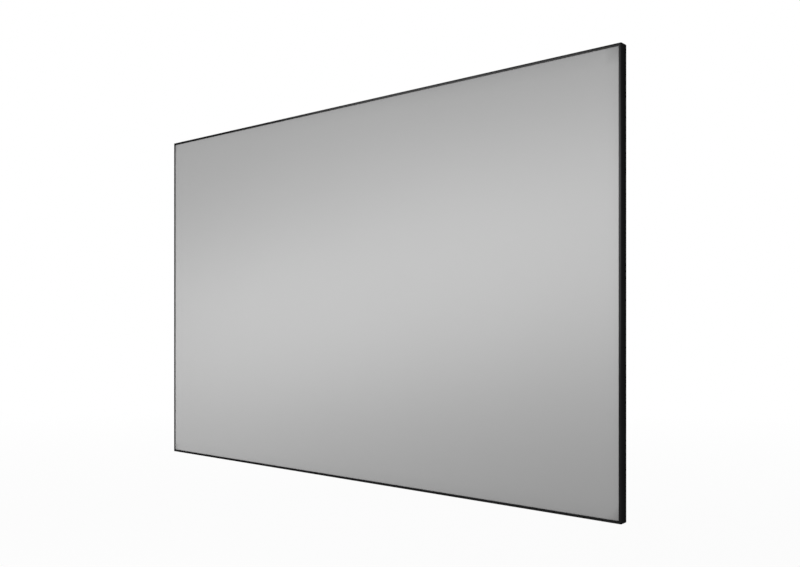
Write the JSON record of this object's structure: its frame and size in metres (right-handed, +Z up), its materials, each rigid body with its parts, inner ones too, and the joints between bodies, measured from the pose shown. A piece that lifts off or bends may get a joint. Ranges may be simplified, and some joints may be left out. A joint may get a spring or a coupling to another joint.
{
  "type": "projector screen",
  "caption": "Fixed frame projector screen: a grey cloth stretched flat over a hidden aluminium frame with thin black edge trims, hung on wall brackets.",
  "frame": {"origin": "middle of the whole screen, between its front face and the wall", "axes": "X right along the picture as a viewer sees it, Y from the front face to the wall, Z up"},
  "size_m": [2.2298, 0.03, 1.2608],
  "materials": {
    "screen_cloth": "grey matt projection cloth with a slight sheen, black at the back",
    "edge_trim": "satin black anodised",
    "frame_rail": "black anodised",
    "cast_insert": "bare die-cast metal",
    "fastener": "bright zinc plate",
    "wall_bracket": "bright zinc plate",
    "tension_spring": "nickel-plated spring wire on a pale fibreglass rod",
    "bar_clip": "moulded black plastic"
  },
  "bodies": {
    "root": {"bar_clip_bottom_left": "bar_clip", "bar_clip_bottom_right": "bar_clip", "bar_clip_top_left": "bar_clip", "bar_clip_top_right": "bar_clip", "clip_screw_bottom_left": "fastener", "clip_screw_bottom_right": "fastener", "clip_screw_top_left": "fastener", "clip_screw_top_right": "fastener", "corner_bracket_bottom_left": "cast_insert", "corner_bracket_bottom_right": "cast_insert", "corner_bracket_top_left": "cast_insert", "corner_bracket_top_right": "cast_insert", "corner_screw_bottom_1": "fastener", "corner_screw_bottom_2": "fastener", "corner_screw_left_1": "fastener", "corner_screw_left_2": "fastener", "corner_screw_right_1": "fastener", "corner_screw_right_2": "fastener", "corner_screw_top_1": "fastener", "corner_screw_top_2": "fastener", "joiner_bottom": "cast_insert", "joiner_screw_bottom_1": "fastener", "joiner_screw_bottom_2": "fastener", "joiner_screw_bottom_3": "fastener", "joiner_screw_bottom_4": "fastener", "joiner_screw_top_1": "fastener", "joiner_screw_top_2": "fastener", "joiner_screw_top_3": "fastener", "joiner_screw_top_4": "fastener", "joiner_top": "cast_insert", "rail_bottom_left": "frame_rail", "rail_bottom_right": "frame_rail", "rail_left": "frame_rail", "rail_right": "frame_rail", "rail_top_left": "frame_rail", "rail_top_right": "frame_rail", "screen_cloth": "screen_cloth", "support_bar_left": "frame_rail", "support_bar_right": "frame_rail", "tension_rod_bottom": "tension_spring", "tension_rod_left": "tension_spring", "tension_rod_right": "tension_spring", "tension_rod_top": "tension_spring", "trim_bottom_left": "edge_trim", "trim_bottom_right": "edge_trim", "trim_left": "edge_trim", "trim_right": "edge_trim", "trim_top_left": "edge_trim", "trim_top_right": "edge_trim", "wall_bracket_bottom_left": "wall_bracket", "wall_bracket_bottom_right": "wall_bracket", "wall_bracket_top_left": "wall_bracket", "wall_bracket_top_right": "wall_bracket"}
  },
  "joints": []
}
